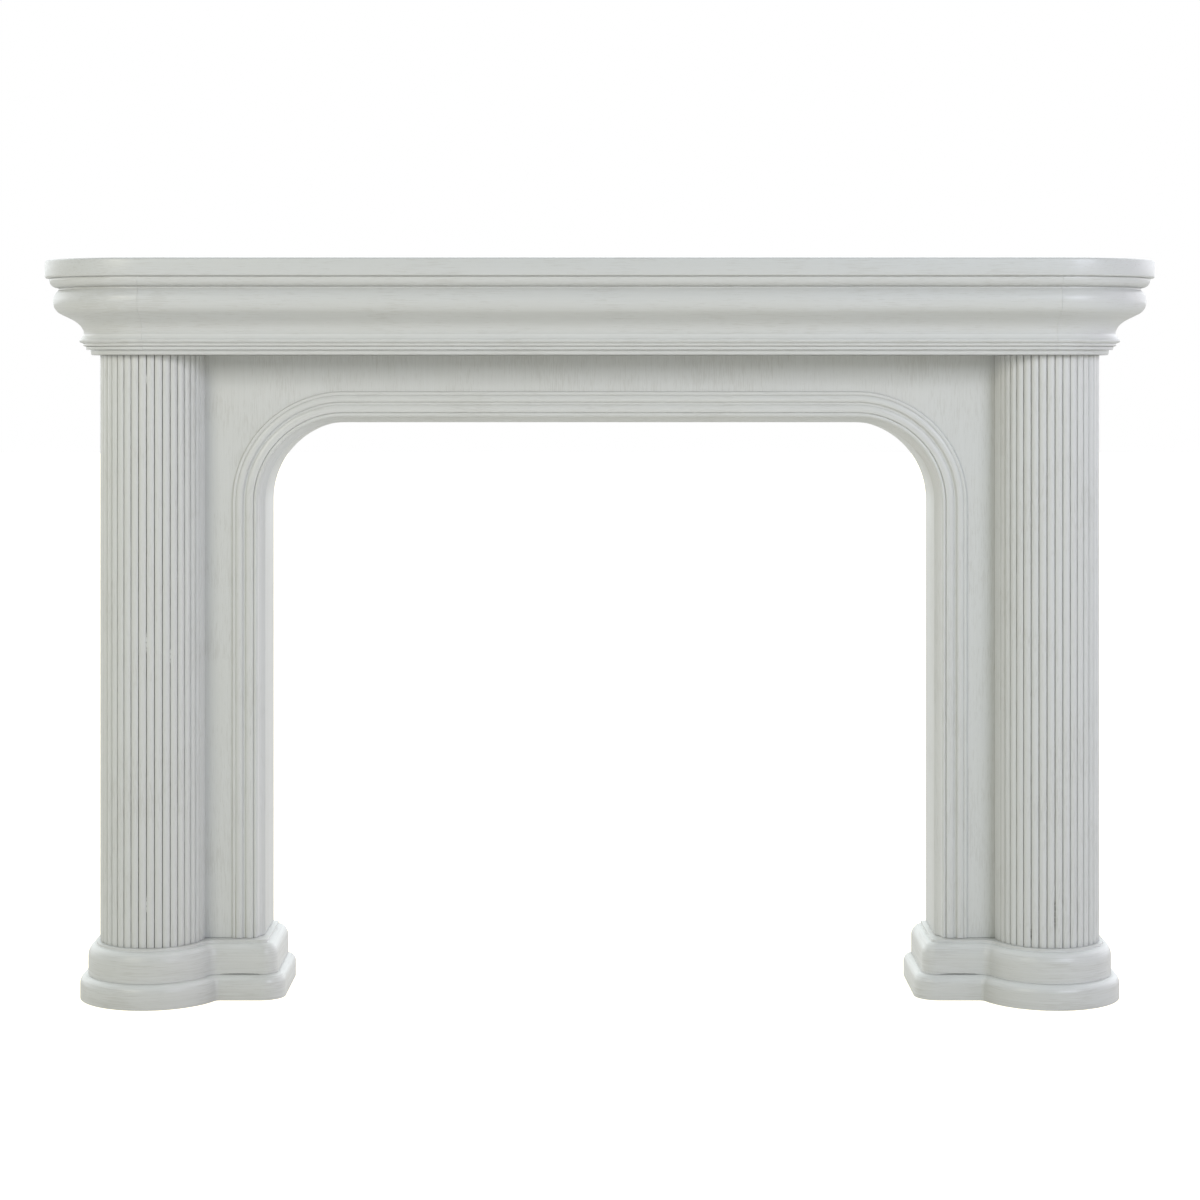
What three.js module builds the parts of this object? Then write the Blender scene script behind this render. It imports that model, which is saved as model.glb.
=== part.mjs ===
// A white-washed wooden fireplace mantelpiece: a shelf on a deep cornice with round corners, two reeded
// half columns on two-tier plinths, and a flat panel with a moulded, round-cornered opening.
// Millimetres, +Z up, front towards -Y, wall at the +Y side, origin on the floor under the middle.
import * as THREE from "three";

// Whole piece
const SHELF_LENGTH = 1835;
const TOTAL_HEIGHT = 1216;
const TOTAL_DEPTH = 325;
const COLUMN_SPACING = 1482; // between the two column axes
const GLUE_LINE = 0.2; // left between pieces that are glued face to face

// Heights above the floor
const LOWER_PLINTH_TOP = 40;
const PLINTH_TOP = 94;
const CORNICE_BOTTOM = 1060.6;
const SOFFIT_TOP = 1069.4;
const SHELF_BOTTOM = 1186.8;

// Reeded half columns
const COLUMN_RADIUS = 86.5;
const REED_PITCH = THREE.MathUtils.degToRad(8.9);
const REED_CROWN = 2.7; // how far a reed's middle stands proud of its edges
const REED_CROWN_SHARES = [-0.22, 0, 0.22]; // places across a reed where its crown is rounded
const GROOVE_DEPTH = 1.8;
const GROOVE_HALF_ANGLE = THREE.MathUtils.degToRad(0.55);
const LEFT_REED_TURN = THREE.MathUtils.degToRad(2.7); // from the column's front towards its outer side
const RIGHT_REED_TURN = THREE.MathUtils.degToRad(4.9);

// Panel, opening and its moulding
const PANEL_THICKNESS = 19;
const OPENING_HALF_WIDTH = 558;
const OPENING_HEIGHT = 949;
const OPENING_CORNER_RADIUS = 133;
const MOULDING_WIDTH = 51.5;
const MOULDING_RECESS = 25; // how far its inner edge lies behind the panel's face
const MOULDING_LIP = 30; // width of the part that lies on the panel
const PANEL_EDGE_CLEARANCE = 0.5;
const LINING_THICKNESS = 15;
const SIDE_BOARD_THICKNESS = 18;

// Shelf and cornice. Members of the cornice are given by their distance out from the column axis,
// their height, and the radius of their curve.
const SHELF_EDGE_ROUND = 3.5;
const CORNICE_BACK = 84; // flat back of the moulding
const SOFFIT_EDGE = { foot: 100.2, top: 102.2, lip: 0.8 };
const FLAT_STEP = { foot: 109, top: 109.8, height: 5.6 };
const SMALL_ROUND = { out: 111.2, z: 1078.2, radius: 2.9 };
const NOSE = { out: 117.2, z: 1084.9, radius: 3.2 };
const SWELL = { out: 139.65, z: 1149, radius: 23.5 };
const OVOLO = { out: 156.3, z: 1185, radius: 13, shadowGap: 3.4 };
const SMALL_ROUND_TOP_ANGLE = THREE.MathUtils.degToRad(75);
const NOSE_TOP_ANGLE = THREE.MathUtils.degToRad(32);
const SWELL_FOOT_ANGLE = THREE.MathUtils.degToRad(-62.6);
const SWELL_TOP_ANGLE = THREE.MathUtils.degToRad(52);
// The hollow flares out to the nose below its deepest place and runs into the slope under the swell
// above it. Each half is a curve pulled towards one point, as distance out and height.
const HOLLOW_FLARE_PULL = [114.4, 1091.5];
const HOLLOW_DEEPEST = [113.3, 1097.5];
const HOLLOW_TOP_PULL = [113.3, 1110.1];
const HOLLOW_TOP = [135.5, 1120.9];

// Steps in the round stretches
const CORNER_STEPS = 10;
const BULGE_STEPS = 16;
const PLINTH_CORNER_STEPS = 4;
const SHOULDER_STEPS = 4;
const ARC_DIVISIONS = 2;

// Worked out from the sizes above
const AXIS_X = COLUMN_SPACING / 2;
const SHELF_RADIUS = SHELF_LENGTH / 2 - AXIS_X; // round corners share the columns' axes
const WALL_Y = TOTAL_DEPTH / 2;
const AXIS_Y = SHELF_RADIUS - TOTAL_DEPTH / 2;
const ARCH_X = OPENING_HALF_WIDTH - OPENING_CORNER_RADIUS;
const ARCH_Z = OPENING_HEIGHT - OPENING_CORNER_RADIUS;
const LEG_OUTSIDE = AXIS_X + COLUMN_RADIUS;

const paintedWood = new THREE.MeshStandardMaterial({ color: 0xc9cac4, roughness: 0.62, metalness: 0 });
const plainWood = new THREE.MeshStandardMaterial({ color: 0xc3c3bb, roughness: 0.75, metalness: 0 });

// The plinths' plans: bulge radius about the column axis, flat front ahead of the axis plane,
// inner side's distance from the middle of the mantelpiece, and radius of the inner front corner.
const LOWER_PLAN = { bulge: 119, flat: 44, inner: 520, corner: 38 };
const UPPER_PLAN = { bulge: 105.8, flat: 31, inner: 533, corner: 25 };
const SHOULDER_PLAN = { bulge: 94.2, flat: 19.4, inner: 548, corner: 12 };
const FILLET_PLAN = { bulge: 92.6, flat: 17.8, inner: 550, corner: 10 };
const LOWER_SHOULDER_HEIGHT = 15;
const UPPER_SHOULDER_HEIGHT = 19;
const FILLET_HEIGHT = 4.5;

// A flat ring of points seen along the axis that its plane faces most.
function flatten(ring) {
  const normal = new THREE.Vector3();
  ring.forEach((p, i) => normal.add(p.clone().cross(ring[(i + 1) % ring.length])));
  const [nx, ny, nz] = normal.toArray().map(Math.abs);
  if (nz >= nx && nz >= ny) {
    return ring.map((p) => new THREE.Vector2(p.x, p.y));
  }
  return ring.map((p) => new THREE.Vector2(nx > ny ? p.y : p.x, p.z));
}

// Triangles that fill a closed ring, wound the same way as the ring.
function fillRing(ring) {
  const flat = flatten(ring);
  const turn = Math.sign(THREE.ShapeUtils.area(flat));
  return THREE.ShapeUtils.triangulateShape(flat, []).map(([a, b, c]) => {
    const own = Math.sign(THREE.ShapeUtils.area([flat[a], flat[b], flat[c]]));
    return own === turn ? [a, b, c] : [a, c, b];
  });
}

function signedVolume(points, triangles) {
  return triangles.reduce((sum, [a, b, c]) => {
    const across = points[b].clone().cross(points[c]);
    return sum + points[a].dot(across) / 6;
  }, 0);
}

// Closed solid over a row of rings that all have the same number of points.
function skin(rings) {
  const count = rings[0].length;
  const points = rings.flat();
  const triangles = [];
  for (let r = 0; r + 1 < rings.length; r += 1) {
    for (let i = 0; i < count; i += 1) {
      const j = (i + 1) % count;
      const here = r * count;
      const next = here + count;
      triangles.push([here + i, here + j, next + j], [here + i, next + j, next + i]);
    }
  }
  const last = (rings.length - 1) * count;
  fillRing(rings[0]).forEach(([a, b, c]) => triangles.push([a, c, b]));
  fillRing(rings.at(-1)).forEach((tri) => triangles.push(tri.map((i) => i + last)));
  const outward = signedVolume(points, triangles) > 0;
  const index = triangles.flatMap(([a, b, c]) => (outward ? [a, b, c] : [a, c, b]));
  const geometry = new THREE.BufferGeometry().setFromPoints(points);
  geometry.setIndex(index);
  geometry.computeVertexNormals();
  return geometry;
}

function addPiece(group, name, geometry, material) {
  const mesh = new THREE.Mesh(geometry, material);
  mesh.name = name;
  group.add(mesh);
  return mesh;
}

// Plan of the shelf, soffit and cornice at one distance from the column axes, from wall to wall.
function crownPlan(radius, z) {
  const plan = new THREE.Path();
  plan.moveTo(-AXIS_X - radius, WALL_Y);
  plan.lineTo(-AXIS_X - radius, AXIS_Y);
  plan.absarc(-AXIS_X, AXIS_Y, radius, Math.PI, 1.5 * Math.PI, false);
  plan.absarc(AXIS_X, AXIS_Y, radius, 1.5 * Math.PI, 2 * Math.PI, false);
  plan.lineTo(AXIS_X + radius, WALL_Y);
  return plan.getPoints(CORNER_STEPS / 2).map((p) => new THREE.Vector3(p.x, p.y, z));
}

function shelf() {
  const rings = [];
  const ease = (angle) => SHELF_RADIUS - SHELF_EDGE_ROUND * (1 - Math.cos(angle));
  const rise = (angle) => SHELF_EDGE_ROUND * (1 - Math.sin(angle));
  for (const angle of [Math.PI / 2, Math.PI / 4, 0]) {
    rings.push(crownPlan(ease(angle), SHELF_BOTTOM + rise(angle)));
  }
  for (const angle of [0, Math.PI / 4, Math.PI / 2]) {
    rings.push(crownPlan(ease(angle), TOTAL_HEIGHT - rise(angle)));
  }
  return skin(rings);
}

// Soffit board under the cornice, with a rounded edge over a short upright lip.
function soffit() {
  const { foot, top, lip } = SOFFIT_EDGE;
  const lipTop = CORNICE_BOTTOM + lip;
  const height = SOFFIT_TOP - GLUE_LINE - lipTop;
  const rings = [crownPlan(foot, CORNICE_BOTTOM), crownPlan(foot, lipTop)];
  for (let i = 1; i <= SHOULDER_STEPS; i += 1) {
    const angle = (i / SHOULDER_STEPS) * (Math.PI / 2);
    const out = foot + (top - foot) * Math.sin(angle);
    rings.push(crownPlan(out, lipTop + height * (1 - Math.cos(angle))));
  }
  return skin(rings);
}

// Section of the cornice: distance out from the column axis against height, from the soffit up.
function corniceSection() {
  const quarter = Math.PI / 2;
  const top = SHELF_BOTTOM - GLUE_LINE;
  const arc = (member, start, end, clockwise) =>
    section.absarc(member.out, member.z, member.radius, start, end, clockwise);
  const section = new THREE.Path();
  section.moveTo(CORNICE_BACK, SOFFIT_TOP);
  section.lineTo(FLAT_STEP.foot, SOFFIT_TOP);
  section.lineTo(FLAT_STEP.top, SOFFIT_TOP + FLAT_STEP.height);
  arc(SMALL_ROUND, -quarter, SMALL_ROUND_TOP_ANGLE, false);
  arc(NOSE, -quarter, NOSE_TOP_ANGLE, false);
  section.quadraticCurveTo(...HOLLOW_FLARE_PULL, ...HOLLOW_DEEPEST);
  section.quadraticCurveTo(...HOLLOW_TOP_PULL, ...HOLLOW_TOP);
  arc(SWELL, SWELL_FOOT_ANGLE, SWELL_TOP_ANGLE, false);
  section.lineTo(OVOLO.out - OVOLO.shadowGap, OVOLO.z - OVOLO.radius);
  arc(OVOLO, -quarter, 0, false);
  section.lineTo(OVOLO.out + OVOLO.radius, top);
  section.lineTo(CORNICE_BACK, top);
  return section.getPoints(ARC_DIVISIONS);
}

function corniceFront(section) {
  const half = AXIS_X - GLUE_LINE / 2;
  return skin([-half, half].map((x) => section.map((p) => new THREE.Vector3(x, AXIS_Y - p.x, p.y))));
}

// Turned corner on the right, then straight back to the wall.
function corniceCorner(section) {
  const rings = [];
  const start = AXIS_X + GLUE_LINE / 2;
  for (let i = 0; i <= CORNER_STEPS; i += 1) {
    const angle = (i / CORNER_STEPS) * (Math.PI / 2);
    rings.push(
      section.map((p) => {
        const x = AXIS_X + p.x * Math.sin(angle);
        return new THREE.Vector3(Math.max(x, start), AXIS_Y - p.x * Math.cos(angle), p.y);
      }),
    );
  }
  rings.push(section.map((p) => new THREE.Vector3(AXIS_X + p.x, WALL_Y, p.y)));
  return skin(rings);
}

// Half column with its flat back on the panel; turn shifts the reeds towards the outer (+X) side.
function column(turn) {
  const radiusAt = (angle) => {
    const fromCrown = (angle + turn - Math.PI / 2) / REED_PITCH;
    const share = 2 * (fromCrown - Math.round(fromCrown));
    return COLUMN_RADIUS - REED_CROWN * share * share;
  };
  const polar = (angle, sunk) => {
    const r = radiusAt(angle) - sunk;
    return new THREE.Vector2(r * Math.cos(angle), -r * Math.sin(angle));
  };
  const outline = [polar(0, 0)];
  const firstReed = Math.ceil((turn - Math.PI / 2) / REED_PITCH);
  for (let reed = firstReed; ; reed += 1) {
    const crown = Math.PI / 2 - turn + reed * REED_PITCH;
    const groove = crown + REED_PITCH / 2;
    for (const share of REED_CROWN_SHARES) {
      const angle = crown + share * REED_PITCH;
      if (angle > GROOVE_HALF_ANGLE && angle < Math.PI - GROOVE_HALF_ANGLE) {
        outline.push(polar(angle, 0));
      }
    }
    if (groove + GROOVE_HALF_ANGLE * 2 > Math.PI) {
      break;
    }
    outline.push(polar(groove - GROOVE_HALF_ANGLE, 0));
    outline.push(polar(groove, GROOVE_DEPTH));
    outline.push(polar(groove + GROOVE_HALF_ANGLE, 0));
  }
  outline.push(polar(Math.PI, 0));
  const front = AXIS_Y - GLUE_LINE;
  const levels = [PLINTH_TOP + GLUE_LINE, CORNICE_BOTTOM - GLUE_LINE];
  return skin(levels.map((z) => outline.map((p) => new THREE.Vector3(AXIS_X + p.x, front + p.y, z))));
}

// Plan of a right-hand plinth tier: bulge round the column, flat front, round inner corner.
function plinthRing(plan, z) {
  const crease = Math.asin(plan.flat / plan.bulge);
  const round = (x, y, radius, start, end) =>
    new THREE.EllipseCurve(x, y, radius, radius, start, end, false);
  const cornerX = plan.inner + plan.corner;
  const cornerY = AXIS_Y - plan.flat + plan.corner;
  const corner = round(cornerX, cornerY, plan.corner, Math.PI, 1.5 * Math.PI);
  const bulge = round(AXIS_X, AXIS_Y, plan.bulge, Math.PI + crease, 2 * Math.PI);
  const points = [
    new THREE.Vector2(AXIS_X + plan.bulge, WALL_Y),
    new THREE.Vector2(plan.inner, WALL_Y),
    ...corner.getPoints(PLINTH_CORNER_STEPS),
    ...bulge.getPoints(BULGE_STEPS),
  ];
  return points.map((p) => new THREE.Vector3(p.x, p.y, z));
}

function mixPlans(from, to, share) {
  const mixed = {};
  for (const key of Object.keys(from)) {
    mixed[key] = THREE.MathUtils.lerp(from[key], to[key], share);
  }
  return mixed;
}

// Rings of a rounded shoulder that draws a plan in from one outline to another.
function shoulderRings(from, to, bottom, height) {
  const rings = [];
  for (let i = 1; i <= SHOULDER_STEPS; i += 1) {
    const angle = (i / SHOULDER_STEPS) * (Math.PI / 2);
    rings.push(plinthRing(mixPlans(from, to, 1 - Math.cos(angle)), bottom + height * Math.sin(angle)));
  }
  return rings;
}

function lowerPlinth() {
  const shoulder = LOWER_PLINTH_TOP - LOWER_SHOULDER_HEIGHT;
  return skin([
    plinthRing(LOWER_PLAN, 0),
    plinthRing(LOWER_PLAN, shoulder),
    ...shoulderRings(LOWER_PLAN, UPPER_PLAN, shoulder, LOWER_SHOULDER_HEIGHT),
  ]);
}

function upperPlinth() {
  const filletBottom = PLINTH_TOP - FILLET_HEIGHT;
  const shoulder = filletBottom - UPPER_SHOULDER_HEIGHT;
  return skin([
    plinthRing(UPPER_PLAN, LOWER_PLINTH_TOP + GLUE_LINE),
    plinthRing(UPPER_PLAN, shoulder),
    ...shoulderRings(UPPER_PLAN, SHOULDER_PLAN, shoulder, UPPER_SHOULDER_HEIGHT),
    plinthRing(FILLET_PLAN, filletBottom),
    plinthRing(FILLET_PLAN, PLINTH_TOP),
  ]);
}

// Outline of the opening, offset outwards, from the right foot over the head to the left foot.
// Each station gives a point and the direction that points away from the opening.
function openingStations() {
  const stations = [{ x: ARCH_X, z: PLINTH_TOP + GLUE_LINE, angle: 0 }];
  for (const side of [1, -1]) {
    for (let i = 0; i <= CORNER_STEPS; i += 1) {
      const swing = (i / CORNER_STEPS) * (Math.PI / 2);
      const angle = side > 0 ? swing : Math.PI / 2 + swing;
      stations.push({ x: side * ARCH_X, z: ARCH_Z, angle });
    }
  }
  stations.push({ x: -ARCH_X, z: PLINTH_TOP + GLUE_LINE, angle: Math.PI });
  return stations;
}

// Carries a section round the opening: x is the distance out from the opening's edge, y the distance
// in front of the panel's face.
function sweepRoundOpening(section) {
  return skin(
    openingStations().map((station) =>
      section.map((p) => {
        const reach = OPENING_CORNER_RADIUS + p.x;
        return new THREE.Vector3(
          station.x + reach * Math.cos(station.angle),
          AXIS_Y - p.y,
          station.z + reach * Math.sin(station.angle),
        );
      }),
    ),
  );
}

// Section of the opening's moulding. Each member is drawn from its outer side to its inner side:
// distance in from the moulding's outer edge, then distance in front of the panel's face.
function mouldingSection() {
  const section = new THREE.Path();
  const line = (inward, proud) => section.lineTo(MOULDING_WIDTH - inward, proud);
  const curve = (midIn, midProud, inward, proud) =>
    section.quadraticCurveTo(MOULDING_WIDTH - midIn, midProud, MOULDING_WIDTH - inward, proud);
  section.moveTo(MOULDING_WIDTH, GLUE_LINE);
  line(0, 1.6); // edge bead
  curve(0.6, 3.4, 2.8, 3.4);
  curve(4.6, 3.4, 5.4, 3.1);
  line(6.2, 4); // broad round and its fall
  curve(9, 6.4, 14.5, 5.8);
  curve(17.4, 5.2, 18.2, 1.4);
  curve(18.8, 0.4, 22.2, 0.6);
  line(22.7, 2.3); // flat round
  curve(28, 5, 34.2, 2.4);
  line(34.9, -0.6); // quirk and small bead
  curve(38.2, 3.4, 41.6, -1.6);
  line(42, -9.5); // step back to the hollow, which runs to the lining
  curve(44.8, -18.5, MOULDING_WIDTH, -MOULDING_RECESS);
  line(MOULDING_LIP, -MOULDING_RECESS);
  line(MOULDING_LIP, GLUE_LINE);
  return section.getPoints(ARC_DIVISIONS);
}

function liningSection() {
  const front = -MOULDING_RECESS - GLUE_LINE;
  const back = AXIS_Y - WALL_Y;
  return [
    new THREE.Vector2(0, front),
    new THREE.Vector2(LINING_THICKNESS, front),
    new THREE.Vector2(LINING_THICKNESS, back),
    new THREE.Vector2(0, back),
  ];
}

// Panel cut round the moulding's inner part: outline in X and Z, extruded towards the wall.
function surroundPanel() {
  const margin = MOULDING_WIDTH - MOULDING_LIP + PANEL_EDGE_CLEARANCE;
  const radius = OPENING_CORNER_RADIUS + margin;
  const bottom = PLINTH_TOP + GLUE_LINE;
  const top = CORNICE_BOTTOM - GLUE_LINE;
  const outline = new THREE.Shape();
  outline.moveTo(-LEG_OUTSIDE, bottom);
  outline.lineTo(-ARCH_X - radius, bottom);
  outline.absarc(-ARCH_X, ARCH_Z, radius, Math.PI, Math.PI / 2, true);
  outline.absarc(ARCH_X, ARCH_Z, radius, Math.PI / 2, 0, true);
  outline.lineTo(ARCH_X + radius, bottom);
  outline.lineTo(LEG_OUTSIDE, bottom);
  outline.lineTo(LEG_OUTSIDE, top);
  outline.lineTo(-LEG_OUTSIDE, top);
  outline.closePath();
  const geometry = new THREE.ExtrudeGeometry(outline, {
    depth: PANEL_THICKNESS,
    bevelEnabled: false,
    curveSegments: CORNER_STEPS / 2,
  });
  geometry.rotateX(Math.PI / 2);
  geometry.translate(0, AXIS_Y + PANEL_THICKNESS, 0);
  return geometry;
}

function sideBoard() {
  const front = AXIS_Y + PANEL_THICKNESS + GLUE_LINE;
  const bottom = PLINTH_TOP + GLUE_LINE;
  const height = CORNICE_BOTTOM - GLUE_LINE - bottom;
  const geometry = new THREE.BoxGeometry(SIDE_BOARD_THICKNESS, WALL_Y - front, height);
  geometry.translate(LEG_OUTSIDE - SIDE_BOARD_THICKNESS / 2, (front + WALL_Y) / 2, bottom + height / 2);
  return geometry;
}

const mantelpiece = new THREE.Group();
const section = corniceSection();
addPiece(mantelpiece, "mantel_shelf", shelf(), paintedWood);
addPiece(mantelpiece, "cornice_front", corniceFront(section), paintedWood);
addPiece(mantelpiece, "cornice_soffit", soffit(), paintedWood);
addPiece(mantelpiece, "surround_panel", surroundPanel(), paintedWood);
addPiece(mantelpiece, "opening_moulding", sweepRoundOpening(mouldingSection()), paintedWood);
addPiece(mantelpiece, "opening_lining", sweepRoundOpening(liningSection()), paintedWood);

// Pieces that come in pairs are modelled on the right and mirrored for the left.
for (const side of ["right", "left"]) {
  const half = new THREE.Group();
  half.scale.x = side === "right" ? 1 : -1;
  addPiece(half, `cornice_corner_${side}`, corniceCorner(section), paintedWood);
  addPiece(half, `column_${side}`, column(side === "right" ? RIGHT_REED_TURN : LEFT_REED_TURN), paintedWood);
  addPiece(half, `plinth_upper_${side}`, upperPlinth(), paintedWood);
  addPiece(half, `plinth_lower_${side}`, lowerPlinth(), paintedWood);
  addPiece(half, `side_board_${side}`, sideBoard(), plainWood);
  mantelpiece.add(half);
}

export default mantelpiece;
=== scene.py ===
import math

import bmesh
import bpy
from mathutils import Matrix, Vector


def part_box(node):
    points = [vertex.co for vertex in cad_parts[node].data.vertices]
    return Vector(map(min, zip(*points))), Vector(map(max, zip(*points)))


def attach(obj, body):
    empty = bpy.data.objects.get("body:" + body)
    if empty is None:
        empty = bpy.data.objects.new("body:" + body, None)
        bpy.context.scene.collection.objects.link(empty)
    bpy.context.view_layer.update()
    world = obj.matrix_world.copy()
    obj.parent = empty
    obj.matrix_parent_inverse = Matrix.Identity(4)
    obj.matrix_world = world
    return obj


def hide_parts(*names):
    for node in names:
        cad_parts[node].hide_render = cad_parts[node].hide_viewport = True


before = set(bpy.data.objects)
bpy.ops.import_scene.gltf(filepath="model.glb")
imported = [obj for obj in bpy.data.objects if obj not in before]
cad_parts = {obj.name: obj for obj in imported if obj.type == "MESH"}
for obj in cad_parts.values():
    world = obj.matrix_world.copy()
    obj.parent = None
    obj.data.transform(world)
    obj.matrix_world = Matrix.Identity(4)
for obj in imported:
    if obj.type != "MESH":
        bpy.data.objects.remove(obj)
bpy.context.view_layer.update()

# places taken from the frame, in metres
shelfLow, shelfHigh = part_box("mantel_shelf")
soffitLow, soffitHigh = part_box("cornice_soffit")
corniceLow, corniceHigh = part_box("cornice_front")
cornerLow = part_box("cornice_corner_right")[0]
columnLow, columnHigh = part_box("column_right")
panelLow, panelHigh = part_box("surround_panel")
lowerLow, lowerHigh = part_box("plinth_lower_right")
upperLow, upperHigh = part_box("plinth_upper_right")
liningLow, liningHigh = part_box("opening_lining")
wallY = shelfHigh.y
cornerRadius = 0.1765  # shelf corners share the column axes
axisX = shelfHigh.x - cornerRadius
axisY = shelfLow.y + cornerRadius

# slack when places are compared or welded, in metres, and how a face's normal tells level from upright
slack = {"point": 1e-5, "row": 1e-4, "weld": 1e-6, "level": 0.9, "upright": 0.1}
penDot = 0.01  # size of the plane that becomes a pen
print("frame loaded")


# selecting and drawing helpers

def pick(kind, test):
    mesh = bpy.context.object.data
    bpy.ops.mesh.select_mode(type={"verts": "VERT", "edges": "EDGE", "faces": "FACE"}[kind])
    bpy.ops.mesh.select_all(action="DESELECT")
    live = bmesh.from_edit_mesh(mesh)
    for part in getattr(live, kind):
        part.select_set(test(part))
    live.select_flush_mode()
    bmesh.update_edit_mesh(mesh)


def middle(part):
    return sum((v.co for v in part.verts), Vector()) / len(part.verts)


def spread(edge):
    return edge.verts[1].co - edge.verts[0].co


def near(a, b, within=slack["point"]):
    return abs(a - b) < within


def facesUp(face):
    return face.normal.z > slack["level"]


def facesDown(face):
    return face.normal.z < -slack["level"]


def standsUpright(face):
    return abs(face.normal.z) < slack["upright"]


def selectOnly(piece):
    if bpy.context.mode != "OBJECT":
        bpy.ops.object.mode_set(mode="OBJECT")
    bpy.ops.object.select_all(action="DESELECT")
    piece.select_set(True)
    bpy.context.view_layer.objects.active = piece


def nameIt(name):
    piece = bpy.context.object
    piece.name = name
    piece.data.name = name
    bpy.ops.object.transform_apply(location=True, rotation=True, scale=True)
    bpy.ops.object.mode_set(mode="EDIT")
    return piece


def startBlock(name, low, high):
    bpy.ops.object.select_all(action="DESELECT")
    bpy.ops.mesh.primitive_cube_add(size=1, location=(low + high) / 2, scale=high - low)
    return nameIt(name)


def startOutline(name, point):  # a small plane merged to one point, which then draws like a pen
    bpy.ops.object.select_all(action="DESELECT")
    bpy.ops.mesh.primitive_plane_add(size=penDot, location=point)
    piece = nameIt(name)
    bpy.ops.mesh.select_mode(type="VERT")
    bpy.ops.mesh.select_all(action="SELECT")
    bpy.ops.mesh.merge(type="CENTER")
    return piece


def penPlace():
    live = bmesh.from_edit_mesh(bpy.context.object.data)
    return next(v.co.copy() for v in live.verts if v.select)


def pushBy(step):
    bpy.ops.mesh.extrude_region_move(TRANSFORM_OT_translate={"value": step})


def lineTo(point):
    pushBy(point - penPlace())


def turnBy(degrees, center, axis, steps):  # spin counts clockwise as positive
    bpy.ops.mesh.spin(steps=steps, angle=-math.radians(degrees), center=center, axis=axis)


def curveTo(bend, end, steps):  # a bent stroke pulled towards one point
    start = penPlace()
    for i in range(1, steps + 1):
        t = i / steps
        lineTo(start * (1 - t) ** 2 + bend * 2 * t * (1 - t) + end * t ** 2)


def fillOutline():
    bpy.ops.mesh.select_all(action="SELECT")
    bpy.ops.mesh.remove_doubles(threshold=slack["weld"])
    bpy.ops.mesh.edge_face_add()


def faceOutwards():
    bpy.ops.mesh.select_all(action="SELECT")
    bpy.ops.mesh.remove_doubles(threshold=slack["weld"])
    bpy.ops.mesh.normals_make_consistent(inside=False)


def shoulderPlaces(width, height, steps, fullness):  # inward and along; fullness 1 is a quarter round
    places = []
    for i in range(1, steps + 1):
        angle = math.pi / 2 * i / steps
        inward = 1 - max(math.cos(angle), 0) ** fullness
        places.append(Vector((width * inward, height * math.sin(angle) ** fullness)))
    return places


def roundShoulder(width, height, steps, fullness=1.0):  # draws the picked face in and along its normal
    gone = Vector((0, 0))
    for place in shoulderPlaces(width, height, steps, fullness):
        bpy.ops.mesh.inset(thickness=place.x - gone.x, depth=place.y - gone.y, use_even_offset=True)
        gone = place


def flattenBack(reach):  # brings what lies near the wall back onto the wall plane
    pick("verts", lambda v: v.co.y > wallY - reach)
    bpy.ops.transform.resize(value=(1, 0, 1), center_override=(0, wallY, 0))


def easeEdges(piece, width, segments=2, angle=40):
    bpy.ops.object.mode_set(mode="OBJECT")
    ease = piece.modifiers.new("ease", "BEVEL")
    ease.width = width
    ease.segments = segments
    ease.limit_method = "ANGLE"
    ease.angle_limit = math.radians(angle)
    bpy.ops.object.modifier_apply(modifier="ease")
    bpy.ops.object.mode_set(mode="EDIT")


def mirrorCopy(piece, name):
    selectOnly(piece)
    bpy.ops.object.duplicate()
    twin = bpy.context.object
    twin.name = name
    twin.data.name = name
    bpy.ops.object.mode_set(mode="EDIT")
    bpy.ops.mesh.select_all(action="SELECT")
    bpy.ops.transform.resize(value=(-1, 1, 1), center_override=(0, 0, 0))
    bpy.ops.mesh.normals_make_consistent(inside=False)
    bpy.ops.object.mode_set(mode="OBJECT")
    return twin


def finishPiece(piece, material, slot="whitewashed_wood", smooth=32):
    selectOnly(piece)
    bpy.ops.object.shade_smooth_by_angle(angle=math.radians(smooth))
    piece.data.materials.clear()
    piece.data.materials.append(material)
    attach(piece, "root")
    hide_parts(piece.name.removesuffix(".wood"))


def finishPair(right, material, **more):
    left = mirrorCopy(right, right.name.replace("right", "left"))
    finishPiece(right, material, **more)
    finishPiece(left, material, **more)


# finishes

mixSocket = {"share": 0, "first": 6, "second": 7, "result": 2}  # the mix node's sockets for colours


def addNode(tree, kind, **values):
    node = tree.nodes.new(kind)
    for key, value in values.items():
        setattr(node, key, value)
    return node


def setInputs(node, **values):
    for key, value in values.items():
        node.inputs[key].default_value = value


def wire(tree, source, target):
    tree.links.new(source, target)


def feed(tree, socket, value):  # a link where a socket is given, or else a plain value
    if isinstance(value, bpy.types.NodeSocket):
        wire(tree, value, socket)
    else:
        socket.default_value = value


def mixColour(tree, share, first, second, blend="MIX"):
    node = addNode(tree, "ShaderNodeMix", data_type="RGBA", blend_type=blend)
    for name, value in (("share", share), ("first", first), ("second", second)):
        feed(tree, node.inputs[mixSocket[name]], value)
    return node.outputs[mixSocket["result"]]


def doMath(tree, operation, first, second=None):
    node = addNode(tree, "ShaderNodeMath", operation=operation)
    feed(tree, node.inputs[0], first)
    if second is not None:
        feed(tree, node.inputs[1], second)
    return node.outputs[0]


def rangeTo(tree, value, low, high, toLow=0.0, toHigh=1.0):
    node = addNode(tree, "ShaderNodeMapRange", interpolation_type="SMOOTHSTEP")
    wire(tree, value, node.inputs["Value"])
    setInputs(node, **{"From Min": low, "From Max": high, "To Min": toLow, "To Max": toHigh})
    return node.outputs["Result"]


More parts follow.
